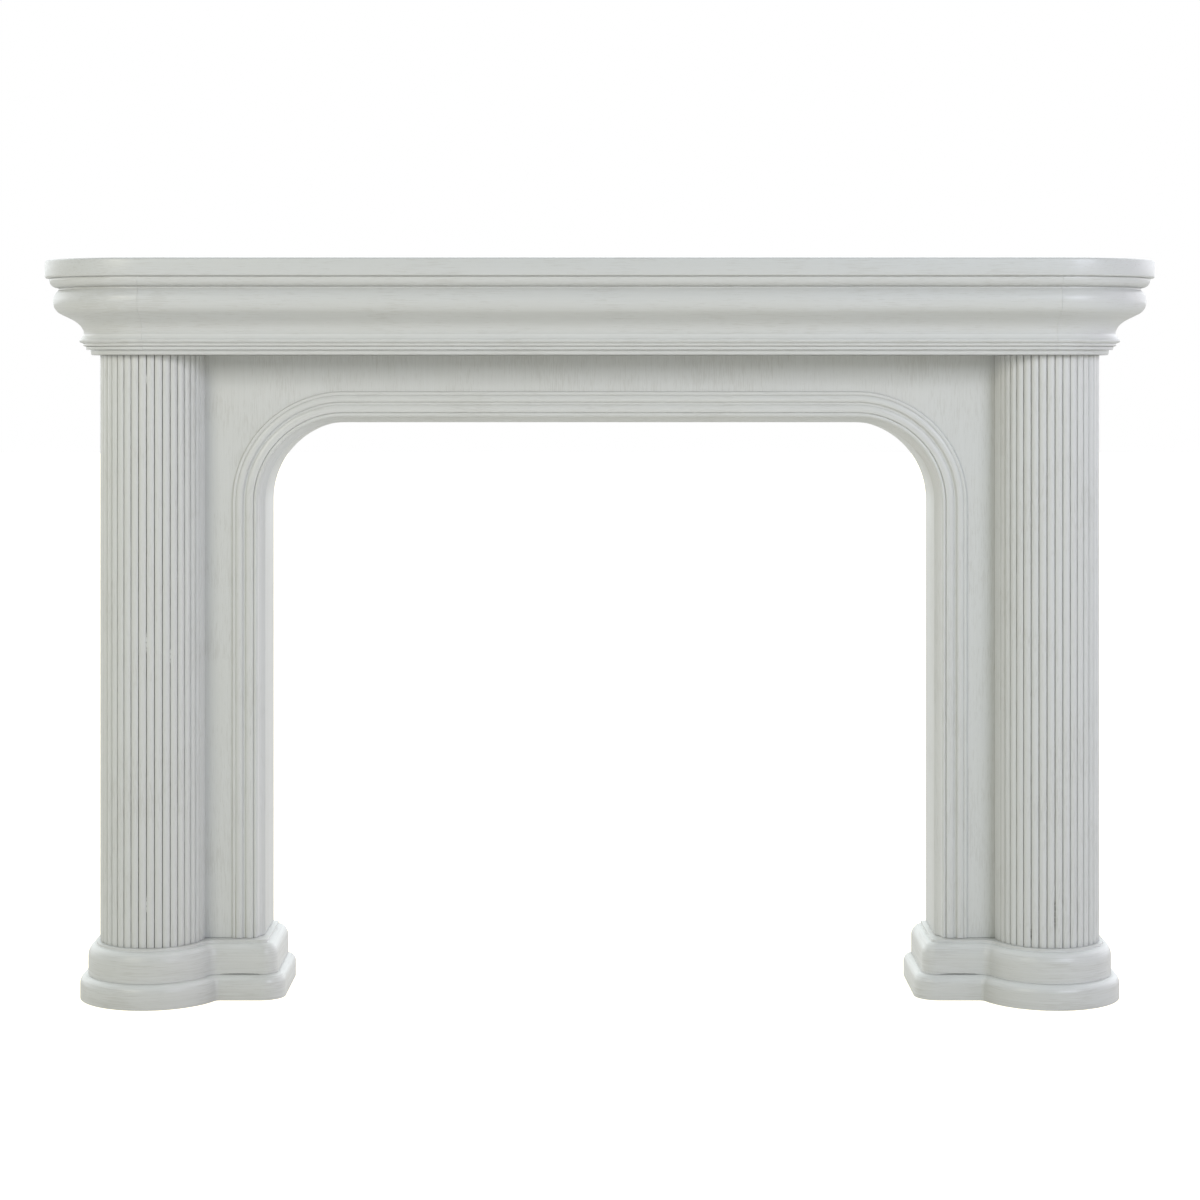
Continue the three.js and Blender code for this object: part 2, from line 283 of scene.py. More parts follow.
def stretchedNoise(tree, place, scale, detail, roughness=0.55):
    stretch = addNode(tree, "ShaderNodeVectorMath", operation="MULTIPLY")
    wire(tree, place, stretch.inputs[0])
    feed(tree, stretch.inputs[1], scale)
    noise = addNode(tree, "ShaderNodeTexNoise", noise_dimensions="3D")
    setInputs(noise, Scale=1.0, Detail=detail, Roughness=roughness)
    wire(tree, stretch.outputs[0], noise.inputs["Vector"])
    return noise.outputs["Fac"]


def splitPlace(tree, place):
    node = addNode(tree, "ShaderNodeSeparateXYZ")
    wire(tree, place, node.inputs[0])
    return node.outputs


grainMix = {
    "fineDetail": 4.0, "fineRough": 0.62, "fineShare": 0.7,
    "broadScale": 0.17, "broadDetail": 2.0, "broadShare": 0.3,
    "poreDetail": 2.0, "poreRough": 0.5, "poreEdge": 0.07, "poreSink": 0.7,
    "clusters": (11.0, 11.0, 11.0), "clusterDetail": 2.0, "clusterShare": 0.6, "patchDetail": 3.0,
}


def makeGrainGroup():  # streaks, open pores and uneven wash of a white-washed board
    group = bpy.data.node_groups.new("washGrain", "ShaderNodeTree")
    face = group.interface
    for name in ("Place", "Streak Scale", "Pore Scale", "Patch Scale"):
        face.new_socket(name, in_out="INPUT", socket_type="NodeSocketVector")
    face.new_socket("Pore Level", in_out="INPUT", socket_type="NodeSocketFloat")
    for name in ("Streaks", "Pores", "Patches", "Height"):
        face.new_socket(name, in_out="OUTPUT", socket_type="NodeSocketFloat")
    start = addNode(group, "NodeGroupInput")
    end = addNode(group, "NodeGroupOutput")
    place = start.outputs["Place"]
    fine = stretchedNoise(group, place, start.outputs["Streak Scale"], grainMix["fineDetail"],
                          grainMix["fineRough"])
    broadScale = addNode(group, "ShaderNodeVectorMath", operation="SCALE")
    wire(group, start.outputs["Streak Scale"], broadScale.inputs[0])
    broadScale.inputs["Scale"].default_value = grainMix["broadScale"]
    broad = stretchedNoise(group, place, broadScale.outputs[0], grainMix["broadDetail"])
    fineStreaks = doMath(group, "MULTIPLY", fine, grainMix["fineShare"])
    broadStreaks = doMath(group, "MULTIPLY", broad, grainMix["broadShare"])
    streaks = doMath(group, "ADD", fineStreaks, broadStreaks)
    poreNoise = stretchedNoise(group, place, start.outputs["Pore Scale"], grainMix["poreDetail"],
                               grainMix["poreRough"])
    clusters = stretchedNoise(group, place, grainMix["clusters"], grainMix["clusterDetail"])
    crowded = doMath(group, "ADD", poreNoise, doMath(group, "MULTIPLY", clusters, grainMix["clusterShare"]))
    over = doMath(group, "SUBTRACT", crowded, start.outputs["Pore Level"])
    pores = rangeTo(group, over, 0.0, grainMix["poreEdge"])
    patches = stretchedNoise(group, place, start.outputs["Patch Scale"], grainMix["patchDetail"])
    height = doMath(group, "SUBTRACT", streaks, doMath(group, "MULTIPLY", pores, grainMix["poreSink"]))
    for name, value in (("Streaks", streaks), ("Pores", pores), ("Patches", patches), ("Height", height)):
        wire(group, value, end.inputs[name])
    return group


washGrain = makeGrainGroup()
washRange = {"streaks": (0.36, 0.64), "patches": (0.35, 0.65), "rough": (0.3, 0.7),
             "rougher": 0.06, "smoother": 0.05, "bumpHeight": 0.0004}


def makeWash(name, look, placeFrom=None, glazeAndPaintedLight=None):
    material = bpy.data.materials.new(name)
    material.use_nodes = True
    tree = material.node_tree
    shader = tree.nodes["Principled BSDF"]
    if placeFrom:
        place = addNode(tree, "ShaderNodeAttribute", attribute_name=placeFrom).outputs["Vector"]
    else:
        place = addNode(tree, "ShaderNodeTexCoord").outputs["Object"]
    grain = addNode(tree, "ShaderNodeGroup", node_tree=washGrain)
    wire(tree, place, grain.inputs["Place"])
    setInputs(grain, **{"Streak Scale": look["streaks"], "Pore Scale": look["pores"]})
    setInputs(grain, **{"Patch Scale": look["patches"], "Pore Level": look["poreLevel"]})
    streakShare = rangeTo(tree, grain.outputs["Streaks"], *washRange["streaks"])
    colour = mixColour(tree, streakShare, look["thin"], look["thick"])
    patchShare = rangeTo(tree, grain.outputs["Patches"], *washRange["patches"], 0.0, look["patchShare"])
    colour = mixColour(tree, patchShare, colour, look["patch"])
    poreShare = doMath(tree, "MULTIPLY", grain.outputs["Pores"], look["poreShare"])
    colour = mixColour(tree, poreShare, colour, look["pore"])
    # overlay over the wash: real glaze on some pieces, painted shade and painted highlight on others
    if glazeAndPaintedLight:
        glazeAndPaintedLightShare = doMath(tree, "MULTIPLY", glazeAndPaintedLight(tree, place), look["glazeAndPaintedLightShare"])
        colour = mixColour(tree, glazeAndPaintedLightShare, colour, look["glazeAndPaintedLight"])
    rough = rangeTo(tree, grain.outputs["Streaks"], *washRange["rough"],
                    look["rough"] + washRange["rougher"], look["rough"] - washRange["smoother"])
    wire(tree, colour, shader.inputs["Base Color"])
    wire(tree, rough, shader.inputs["Roughness"])
    shader.inputs["Specular IOR Level"].default_value = look["gloss"]
    bump = addNode(tree, "ShaderNodeBump")
    setInputs(bump, Strength=look["bump"], Distance=washRange["bumpHeight"])
    wire(tree, grain.outputs["Height"], bump.inputs["Height"])
    wire(tree, bump.outputs["Normal"], shader.inputs["Normal"])
    return material


washLook = {
    "thick": (0.602, 0.609, 0.590, 1), "thin": (0.578, 0.584, 0.562, 1),
    "patch": (0.585, 0.589, 0.556, 1), "patchShare": 0.4, "patches": (5.0, 5.0, 5.0),
    "pore": (0.400, 0.390, 0.350, 1), "poreShare": 0.24, "poreLevel": 0.89,
    # dark overlay colour: real glaze in the reed grooves, painted shade under the soffit
    "glazeAndPaintedLight": (0.120, 0.112, 0.096, 1), "glazeAndPaintedLightShare": 0.9,
    "rough": 0.36, "gloss": 0.5, "bump": 0.12,
}
# painted highlight colour, laid on the cornice flare and the plinth shoulders where light catches them
paintedHighlightWash = (0.72, 0.727, 0.705, 1)
alongX = {"streaks": (6.0, 90.0, 480.0), "pores": (36.0, 300.0, 880.0)}
aroundZ = {"streaks": (9.0, 9.0, 480.0), "pores": (44.0, 44.0, 880.0)}
upZ = {"streaks": (520.0, 520.0, 12.0), "pores": (900.0, 900.0, 52.0)}
alongRun = {"streaks": (6.0, 480.0, 480.0), "pores": (40.0, 880.0, 880.0)}
print("finishes ready")


# shelf board with round front corners
shelfShape = {"cornerSteps": 28, "edgeRound": 0.0035, "edgeSteps": 4}
# painted shade: a darker copy of the wash for the open shelf, which catches more light than the recessed
# parts
shelfShadedTone = {"thick": (0.562, 0.572, 0.558, 1), "thin": (0.548, 0.556, 0.538, 1),
             "patch": (0.552, 0.558, 0.532, 1)}
shelfWash = makeWash("shelf wash", {**washLook, **alongX, **shelfShadedTone})


def makeShelf():
    piece = startBlock("mantel_shelf.wood", shelfLow, shelfHigh)
    pick("edges", lambda e: near(middle(e).y, shelfLow.y) and near(spread(e).x, 0))
    bpy.ops.mesh.bevel(offset=cornerRadius, segments=shelfShape["cornerSteps"], clamp_overlap=False)
    pick("edges", lambda e: near(spread(e).z, 0) and middle(e).y < wallY - slack["row"])
    bpy.ops.mesh.bevel(offset=shelfShape["edgeRound"], segments=shelfShape["edgeSteps"],
                       clamp_overlap=False)
    faceOutwards()
    finishPiece(piece, shelfWash)


makeShelf()
print("shelf made")


# cornice: rounds by distance out from the column axis, height, radius and the angles they run between;
# the two halves of the hollow are curves pulled towards one point
cornice = {
    "back": 0.084, "flatFoot": 0.109, "flatTop": 0.1098, "flatHeight": 0.0049,
    "quirkOut": 0.1078, "quirkHeight": 0.0055,
    "smallRound": (0.1112, 1.0779, 0.0029, -90, 35),
    "nose": (0.1172, 1.0843, 0.0032, -55, 32),
    "flarePull": (0.1144, 1.0912), "flareTop": (0.1133, 1.0960),
    "jointDepth": 0.0003, "jointHeight": 0.0003,
    "hollowPull": (0.1131, 1.1101), "hollowTop": (0.1355, 1.1209),
    "swell": (0.13965, 1.1490, 0.0235, -62.6, 52),
    "ovolo": (0.1554, 1.1850, 0.0139, -90, 0), "shadowGap": 0.0022, "topDraw": 0.0006,
    "cornerSteps": 28, "roundStep": 8, "leastSteps": 3, "curveSteps": 9,
}
flareHighlight = {"from": 1.0868, "to": 1.0950, "ease": 0.0012}


def paintFlareHighlight(tree, place):  # painted highlight: a lighter band above the nose, where light from above falls on the upward-facing flare
    z = splitPlace(tree, place)[2]
    above = rangeTo(tree, z, flareHighlight["from"], flareHighlight["from"] + flareHighlight["ease"])
    below = rangeTo(tree, z, flareHighlight["to"] - flareHighlight["ease"], flareHighlight["to"], 1.0, 0.0)
    return doMath(tree, "MULTIPLY", above, below)


# painted shade and highlight: a darker copy of the wash for the cornice, which catches more light than the
# recessed parts, with the flare highlight over it
corniceShadeAndHighlight = {"thick": (0.572, 0.580, 0.565, 1), "thin": (0.552, 0.558, 0.540, 1),
               "patch": (0.558, 0.563, 0.534, 1), "glazeAndPaintedLight": paintedHighlightWash, "glazeAndPaintedLightShare": 0.4}
corniceWash = makeWash("cornice wash", {**washLook, **aroundZ, **corniceShadeAndHighlight}, glazeAndPaintedLight=paintFlareHighlight)


def drawCornice(name, x):
    def at(out, up):
        return Vector((x, axisY - out, up))

    def member(key):
        out, up, radius, start, end = cornice[key]
        a = math.radians(start)
        lineTo(at(out + radius * math.cos(a), up + radius * math.sin(a)))
        steps = max(cornice["leastSteps"], round(abs(end - start) / cornice["roundStep"]))
        turnBy(start - end, at(out, up), (1, 0, 0), steps)

    bottom, top = corniceLow.z, corniceHigh.z
    piece = startOutline(name, at(cornice["back"], bottom))
    lineTo(at(cornice["flatFoot"], bottom))
    lineTo(at(cornice["flatTop"], bottom + cornice["flatHeight"]))
    lineTo(at(cornice["quirkOut"], bottom + cornice["quirkHeight"]))
    member("smallRound")
    member("nose")
    curveTo(at(*cornice["flarePull"]), at(*cornice["flareTop"]), cornice["curveSteps"])
    lineTo(penPlace() + Vector((0, cornice["jointDepth"], cornice["jointHeight"] / 2)))
    lineTo(penPlace() + Vector((0, -cornice["jointDepth"], cornice["jointHeight"] / 2)))
    curveTo(at(*cornice["hollowPull"]), at(*cornice["hollowTop"]), cornice["curveSteps"])
    member("swell")
    ovoloOut, ovoloUp, ovoloRadius = cornice["ovolo"][:3]
    lineTo(at(ovoloOut - cornice["shadowGap"], ovoloUp - ovoloRadius))
    member("ovolo")
    lineTo(at(ovoloOut + ovoloRadius - cornice["topDraw"], top))
    lineTo(at(cornice["back"], top))
    fillOutline()
    return piece


def makeCornice():
    front = drawCornice("cornice_front.wood", corniceLow.x)
    pushBy(Vector((corniceHigh.x - corniceLow.x, 0, 0)))
    faceOutwards()
    finishPiece(front, corniceWash)
    start = cornerLow.x
    right = drawCornice("cornice_corner_right.wood", start)
    turnBy(90, Vector((start, axisY, 0)), (0, 0, 1), cornice["cornerSteps"])
    pushBy(Vector((0, wallY - axisY, 0)))
    faceOutwards()
    finishPair(right, corniceWash)


makeCornice()
print("cornice made")


# soffit board under the cornice, its edge drawn in a little over a short lip
soffit = {"edgeOut": 0.1022, "edgeFlat": 0.0008, "drawIn": 0.0020, "lip": 0.0008, "steps": 6,
          "backReach": 0.012}
# painted shadow line along the soffit's lower edge: its reach, full strength and share
soffitShadowLine = {"reach": 0.0014, "full": 0.0004, "share": 0.4}


def paintLipShadow(tree, place):  # painted shadow: darker along the lip's lower edge, the shade line under the soffit
    z = splitPlace(tree, place)[2]
    full, reach = soffitLow.z + soffitShadowLine["full"], soffitLow.z + soffitShadowLine["reach"]
    return rangeTo(tree, z, full, reach, 1.0, 0.0)


# the cornice's darker wash, with the dark overlay colour for the painted shadow line
soffitShadedTone = {**corniceShadeAndHighlight, "glazeAndPaintedLight": washLook["glazeAndPaintedLight"], "glazeAndPaintedLightShare": soffitShadowLine["share"]}
soffitWash = makeWash("soffit wash", {**washLook, **aroundZ, **soffitShadedTone}, glazeAndPaintedLight=paintLipShadow)


def makeSoffit():
    low = Vector((soffitLow.x, soffitLow.y, soffitHigh.z - soffit["edgeFlat"]))
    piece = startBlock("cornice_soffit.wood", low, soffitHigh)
    pick("edges", lambda e: near(middle(e).y, low.y) and near(spread(e).x, 0))
    bpy.ops.mesh.bevel(offset=soffit["edgeOut"], segments=cornice["cornerSteps"], clamp_overlap=False)
    pick("faces", facesDown)
    drop = low.z - soffitLow.z - soffit["lip"]
    roundShoulder(soffit["drawIn"], drop, soffit["steps"])
    pushBy(Vector((0, 0, -soffit["lip"])))
    flattenBack(soffit["backReach"])
    faceOutwards()
    finishPiece(piece, soffitWash)


makeSoffit()
print("soffit made")


# reeded half columns; chips and filled stretches are the groove's angle from the front outwards and
# the heights they span
reed = {
    "radius": 0.0865, "pitch": 8.9, "crown": 0.0027, "crownPower": 2.0, "grooveDepth": 0.0018,
    "grooveHalf": 0.54, "deepShare": 0.6, "drawnTo": 100, "crownPoints": 9, "rows": 139,
    "footRise": 0.0012, "footDraw": 0.994, "smooth": 40,
}
wander = {"most": 0.00025, "evenness": 0.2, "seed": 7,
          "footClear": 0.01, "topClear": 0.002, "backClear": 0.004}
ragged = {
    "step": 0.002, "chipReach": 1.3, "chipDepth": 0.016, "chipBeat": 1.9,
    "fillReach": 1.0, "fillRise": 0.026, "fillBeat": 2.3, "fillStart": 1.0, "fillFullness": 0.4,
}
leftReeds = {"turn": 2.7, "fills": [(-1.75, 0.153, 0.173), (-1.75, 0.582, 0.603), (-1.75, 1.017, 1.026),
                                    (-28.45, 0.562, 0.578)]}
rightReeds = {"turn": 4.9, "chips": [(-26.25, 0.113, 0.123), (0.45, 0.129, 0.168)]}
grooveGlazeAndShade = {
    "from": 0.0002, "full": 0.0012, "breaks": (50.0, 50.0, 14.0), "detail": 3.0, "brushed": (0.34, 0.52),
    "least": 0.65, "aside": 0.45, "asideFrom": 0.048, "asideTo": 0.075,
    "topReach": 0.0016, "topShare": 0.45,
}


def glazeGroovesAndShade(tree, place):  # old glaze left deep in the grooves, brushed out unevenly and faded towards the outer side as painted light; a painted shadow band at the column's top under the soffit
    x, y, z = splitPlace(tree, place)
    offset = addNode(tree, "ShaderNodeCombineXYZ")
    wire(tree, doMath(tree, "SUBTRACT", doMath(tree, "ABSOLUTE", x), axisX), offset.inputs["X"])
    wire(tree, doMath(tree, "SUBTRACT", y, axisY), offset.inputs["Y"])
    reach = addNode(tree, "ShaderNodeVectorMath", operation="LENGTH")
    wire(tree, offset.outputs[0], reach.inputs[0])
    sunk = doMath(tree, "SUBTRACT", reed["radius"] - reed["crown"], reach.outputs["Value"])
    deep = rangeTo(tree, sunk, grooveGlazeAndShade["from"], grooveGlazeAndShade["full"])
    brushed = stretchedNoise(tree, place, grooveGlazeAndShade["breaks"], grooveGlazeAndShade["detail"])
    kept = rangeTo(tree, brushed, *grooveGlazeAndShade["brushed"], grooveGlazeAndShade["least"], 1.0)
    # painted light: the glaze fades on the outer side, where more light reaches into the grooves
    facing = rangeTo(tree, doMath(tree, "ABSOLUTE", x), axisX + grooveGlazeAndShade["asideFrom"],
                     axisX + grooveGlazeAndShade["asideTo"], 1.0, grooveGlazeAndShade["aside"])
    grooves = doMath(tree, "MULTIPLY", deep, doMath(tree, "MULTIPLY", kept, facing))
    # painted shadow: a dark band at the top, under the soffit
    top = rangeTo(tree, z, columnHigh.z - grooveGlazeAndShade["topReach"], columnHigh.z,
                  0.0, grooveGlazeAndShade["topShare"])
    return doMath(tree, "MAXIMUM", grooves, top)


def cutRows(bottom, top):  # fine rows of vertices for ragged work
    count = round((top - bottom) / ragged["step"])
    rows = [bottom + (top - bottom) * i / count for i in range(count + 1)]
    for z in rows:
        bpy.ops.mesh.select_all(action="SELECT")
        bpy.ops.mesh.bisect(plane_co=(0, 0, z), plane_no=(0, 0, 1))
    return rows


def sizeBy(factor, axis):
    bpy.ops.transform.resize(value=(factor, factor, 1), center_override=axis)


reedTone = {"patches": (60.0, 60.0, 2.5)}
reedWash = makeWash("reed wash", {**washLook, **upZ, **reedTone}, glazeAndPaintedLight=glazeGroovesAndShade)


def makeColumn(name, turn, chips=(), fills=()):  # drawn on the right, turn shifts the reeds outwards
    low, high = columnLow, columnHigh
    axis = Vector((axisX, axisY, low.z))
    half = reed["pitch"] / 2
    rim = reed["radius"] - reed["crown"]

    def at(degrees, sunk):
        share = (degrees - turn) / half
        share -= 2 * round(share / 2)
        r = reed["radius"] - reed["crown"] * abs(share) ** reed["crownPower"] - sunk
        a = math.radians(degrees)
        return axis + Vector((r * math.sin(a), -r * math.cos(a), 0))

    def fromGroove(vertex, groove):
        offset = vertex.co - axis
        return abs(math.degrees(math.atan2(offset.x, -offset.y)) - groove)

    def isDeep(vertex):
        offset = vertex.co - axis
        return math.hypot(offset.x, offset.y) < rim - reed["grooveDepth"] * reed["deepShare"]

    def mayWander(vertex):
        _, y, z = vertex.co
        inside = low.z + wander["footClear"] < z < high.z - wander["topClear"]
        return isDeep(vertex) and inside and y < high.y - wander["backClear"]

    reeds = math.ceil(reed["drawnTo"] / reed["pitch"])
    first = turn - reeds * reed["pitch"]
    piece = startOutline(name, at(first - half, reed["grooveDepth"]))
    flank = half - reed["grooveHalf"]
    for i in range(reed["crownPoints"]):
        lineTo(at(first + flank * (2 * i / (reed["crownPoints"] - 1) - 1), 0))
    lineTo(at(first + half, reed["grooveDepth"]))
    bpy.ops.mesh.select_all(action="SELECT")
    count = 2 * reeds
    bpy.ops.mesh.spin(steps=count, dupli=True, angle=-math.radians(count * reed["pitch"]),
                      center=axis, axis=(0, 0, 1))
    bpy.ops.mesh.select_all(action="SELECT")
    bpy.ops.mesh.remove_doubles(threshold=slack["point"])
    bpy.ops.mesh.bisect(plane_co=(0, high.y, 0), plane_no=(0, 1, 0), clear_outer=True)
    fillOutline()
    pushBy(Vector((0, 0, reed["footRise"])))
    pushBy(Vector((0, 0, high.z - low.z - reed["footRise"])))
    pick("edges", lambda e: spread(e).length > (high.z - low.z) / 2)
    bpy.ops.mesh.subdivide(number_cuts=reed["rows"])
    pick("verts", lambda v: near(v.co.z, low.z))
    sizeBy(reed["footDraw"], axis)
    pick("verts", mayWander)
    bpy.ops.mesh.sort_elements(type="CURSOR_DISTANCE", elements={"VERT"})  # the same order on every run
    bpy.ops.transform.vertex_random(offset=wander["most"], uniform=wander["evenness"], normal=0.0,
                                    seed=wander["seed"])
    for groove, bottom, top in chips:
        for i, z in enumerate(cutRows(bottom, top)):
            pick("verts", lambda v: near(v.co.z, z, slack["row"])
                 and fromGroove(v, groove) < ragged["chipReach"])
            beat = abs(math.sin(ragged["chipBeat"] * i + groove))
            sizeBy(1 - ragged["chipDepth"] * beat, axis)
    for groove, bottom, top in fills:
        for i, z in enumerate(cutRows(bottom, top)):
            pick("verts", lambda v: near(v.co.z, z, slack["row"]) and isDeep(v)
                 and fromGroove(v, groove) < ragged["fillReach"])
            beat = abs(math.sin(ragged["fillBeat"] * i + ragged["fillStart"]))
            sizeBy(1 + ragged["fillRise"] * beat ** ragged["fillFullness"], axis)
    faceOutwards()
    bpy.ops.object.mode_set(mode="OBJECT")
    return piece


def makeColumns():
    right = makeColumn("column_right.wood", **rightReeds)
    spare = makeColumn("column_spare", **leftReeds)
    left = mirrorCopy(spare, "column_left.wood")
    bpy.data.objects.remove(spare)
    for piece in (right, left):
        finishPiece(piece, reedWash, smooth=reed["smooth"])


makeColumns()
print("columns made")


# plinths: bulge round the column, soft crease, flat front, round inner corner
plinth = {
    "lowerBulge": 0.119, "lowerFlat": 0.044, "lowerInner": 0.520, "lowerCorner": 0.038,
    "lowerCrease": 0.010, "lowerDrawIn": 0.0132, "lowerShoulder": 0.015, "lowerFullness": 1.0,
    "upperBulge": 0.1058, "upperFlat": 0.031, "upperInner": 0.533, "upperCorner": 0.025,
    "upperCrease": 0.018, "upperDrawIn": 0.0116, "upperShoulder": 0.019, "upperFullness": 1.15,
    "innerDrawIn": 0.015, "backReach": 0.02,
    "filletStep": 0.0016, "filletHeight": 0.0045, "filletEase": 0.0006, "filletSteps": 3,
    "bulgeSteps": 40, "creaseSteps": 8, "cornerSteps": 12, "shoulderSteps": 9,
    "gapLeast": 0.03, "gapLift": 0.0015, "gapCuts": 9, "gapFullness": 0.5,
}
# painted highlight bands on the plinth shoulders: heights, core, reach, and how they fade towards the inner
# side
shoulderHighlight = {"heights": (0.0365, 0.0865), "core": 0.001, "reach": 0.006,
               "inner": 0.545, "full": 0.600, "least": 0.15}


def paintShoulderHighlights(tree, place):  # painted highlight: lighter bands along the shoulders where light catches them, fading towards the inner side
    x, _, z = splitPlace(tree, place)
    front = rangeTo(tree, doMath(tree, "ABSOLUTE", x), shoulderHighlight["inner"], shoulderHighlight["full"],
                    shoulderHighlight["least"], 1.0)
    highlightBands = 0.0
    for height in shoulderHighlight["heights"]:
        away = doMath(tree, "ABSOLUTE", doMath(tree, "SUBTRACT", z, height))
        band = rangeTo(tree, away, shoulderHighlight["core"], shoulderHighlight["reach"], 1.0, 0.0)
        highlightBands = doMath(tree, "ADD", band, highlightBands)
    return doMath(tree, "MULTIPLY", highlightBands, front)


shoulderHighlightMix = {"glazeAndPaintedLight": paintedHighlightWash, "glazeAndPaintedLightShare": 0.5}
plinthGrain = {"streaks": (7.0, 7.0, 420.0), "pores": (27.0, 27.0, 900.0),
               "thin": (0.548, 0.552, 0.526, 1), "poreLevel": 0.86, "poreShare": 0.28}
plinthWash = makeWash("plinth wash", {**washLook, **plinthGrain, **shoulderHighlightMix}, glazeAndPaintedLight=paintShoulderHighlights)


def drawPlinth(name, tier, z):
    bulge, flat, inner = plinth[tier + "Bulge"], plinth[tier + "Flat"], plinth[tier + "Inner"]
    corner, crease = plinth[tier + "Corner"], plinth[tier + "Crease"]
    creaseReach = math.sqrt((bulge + crease) ** 2 - (flat + crease) ** 2)
    creaseCenter = Vector((axisX - creaseReach, axisY - flat - crease, z))
    bulgeStart = math.degrees(math.atan2(flat + crease, creaseReach))
    piece = startOutline(name, Vector((axisX + bulge, wallY, z)))
    lineTo(Vector((inner, wallY, z)))
    lineTo(Vector((inner, axisY - flat + corner, z)))
    turnBy(90, Vector((inner + corner, axisY - flat + corner, z)), (0, 0, 1), plinth["cornerSteps"])
    lineTo(Vector((creaseCenter.x, axisY - flat, z)))
    turnBy(bulgeStart - 90, creaseCenter, (0, 0, 1), plinth["creaseSteps"])
    turnBy(180 - bulgeStart, Vector((axisX, axisY, z)), (0, 0, 1), plinth["bulgeSteps"])
    fillOutline()
    return piece


def tierShoulder(tier):
    keys = (tier + "DrawIn", tier + "Shoulder", "shoulderSteps", tier + "Fullness")
    return [plinth[key] for key in keys]


def makeLowerPlinth():
    piece = drawPlinth("plinth_lower_right.wood", "lower", lowerLow.z)
    pushBy(Vector((0, 0, lowerHigh.z - lowerLow.z - plinth["lowerShoulder"])))
    faceOutwards()
    pick("faces", facesUp)
    roundShoulder(*tierShoulder("lower"))
    flattenBack(plinth["backReach"])
    faceOutwards()
    bpy.ops.object.mode_set(mode="OBJECT")
    return piece


def slideInnerSide(bottom):  # the inner side draws in further than the front
    extra = plinth["innerDrawIn"] / plinth["upperDrawIn"] - 1
    limit = plinth["upperInner"] + plinth["upperCorner"] + plinth["innerDrawIn"]
    for place in shoulderPlaces(*tierShoulder("upper")):
        isTop = near(place.y, plinth["upperShoulder"])
        pick("verts", lambda v: v.co.x < limit
             and (near(v.co.z, bottom + place.y) or isTop and v.co.z > bottom + place.y))
        bpy.ops.transform.translate(value=(extra * place.x, 0, 0))


def openGap(low):  # the upper tier's flat front doesn't sit quite down on the lower tier
    front = axisY - plinth["upperFlat"]
    pick("edges", lambda e: near(middle(e).z, low) and near(middle(e).y, front)
         and abs(spread(e).x) > plinth["gapLeast"])
    live = bmesh.from_edit_mesh(bpy.context.object.data)
    ends = sorted(v.co.x for e in live.edges if e.select for v in e.verts)
    bpy.ops.mesh.subdivide(number_cuts=plinth["gapCuts"])
    for i in range(1, plinth["gapCuts"] + 1):
        share = i / (plinth["gapCuts"] + 1)
        x = ends[0] + (ends[-1] - ends[0]) * share
        pick("verts", lambda v: near(v.co.z, low) and near(v.co.y, front) and near(v.co.x, x, slack["row"]))
        lift = plinth["gapLift"] * math.sin(math.pi * share) ** plinth["gapFullness"]
        bpy.ops.transform.translate(value=(0, 0, lift))


def makeUpperPlinth():
    piece = drawPlinth("plinth_upper_right.wood", "upper", upperLow.z)
    rise = upperHigh.z - upperLow.z - plinth["upperShoulder"] - plinth["filletHeight"]
    pushBy(Vector((0, 0, rise)))
    faceOutwards()
    pick("faces", facesUp)
    roundShoulder(*tierShoulder("upper"))
    bpy.ops.mesh.inset(thickness=plinth["filletStep"], depth=0, use_even_offset=True)
    pushBy(Vector((0, 0, plinth["filletHeight"])))
    slideInnerSide(upperLow.z + rise)
    flattenBack(plinth["backReach"])
    faceOutwards()
    filletFoot = upperHigh.z - plinth["filletHeight"]

    def isFilletEdge(edge):
        level = near(spread(edge).z, 0) and middle(edge).y < wallY - slack["row"]
        return level and any(standsUpright(f) and middle(f).z > filletFoot for f in edge.link_faces)

    pick("edges", isFilletEdge)
    bpy.ops.mesh.bevel(offset=plinth["filletEase"], segments=plinth["filletSteps"], clamp_overlap=True)
    openGap(upperLow.z)
    faceOutwards()
    bpy.ops.object.mode_set(mode="OBJECT")
    return piece


def makePlinths():
    for right in (makeLowerPlinth(), makeUpperPlinth()):
        finishPair(right, plinthWash)


makePlinths()
print("plinths made")


# opening: panel, stepped moulding and lining
opening = {
    "half": 0.558, "height": 0.949, "cornerRadius": 0.133, "cornerSteps": 28,
    "mouldWidth": 0.0515, "mouldBack": 0.025, "mouldLip": 0.030, "mouldGlue": 0.0002, "mouldSteps": 6,
    "panelClearance": 0.0005, "cutPast": 0.1, "cutUnder": 0.05,
    "liningEase": 0.0012, "footGap": 0.0004,
}
perMetre = 1000  # millimetres
archX = opening["half"] - opening["cornerRadius"]
archZ = opening["height"] - opening["cornerRadius"]
bendRun = opening["cornerRadius"] * math.pi / 2

# members of the moulding from its outer edge inwards, in millimetres: a line to a point, or a curve
# given by the point that pulls it and its end; each point is inward, then proud of the panel
mouldMembers = [
    [(0, 1.6)], [(0.6, 3.4), (2.8, 3.4)], [(4.6, 3.4), (5.4, 3.1)],
    [(6.2, 4.0)], [(9, 6.4), (14.5, 5.8)], [(17.4, 5.2), (18.2, 1.4)], [(18.8, 0.4), (22.2, 0.6)],
    [(22.7, 2.3)], [(28, 5.0), (34.2, 2.4)],
    [(34.9, -0.6)], [(38.2, 3.4), (41.6, -1.6)], [(42, -9.5)], [(44.8, -18.5), (51.5, -25)],
]
quirkStain = {"inward": (0.0056, 0.0224), "width": 0.0012, "breaks": (4.0, 60.0, 60.0), "detail": 2.0,
              "brushed": (0.38, 0.62), "least": 0.12, "footFrom": 1.05, "footTo": 1.32, "headShare": 0.3}
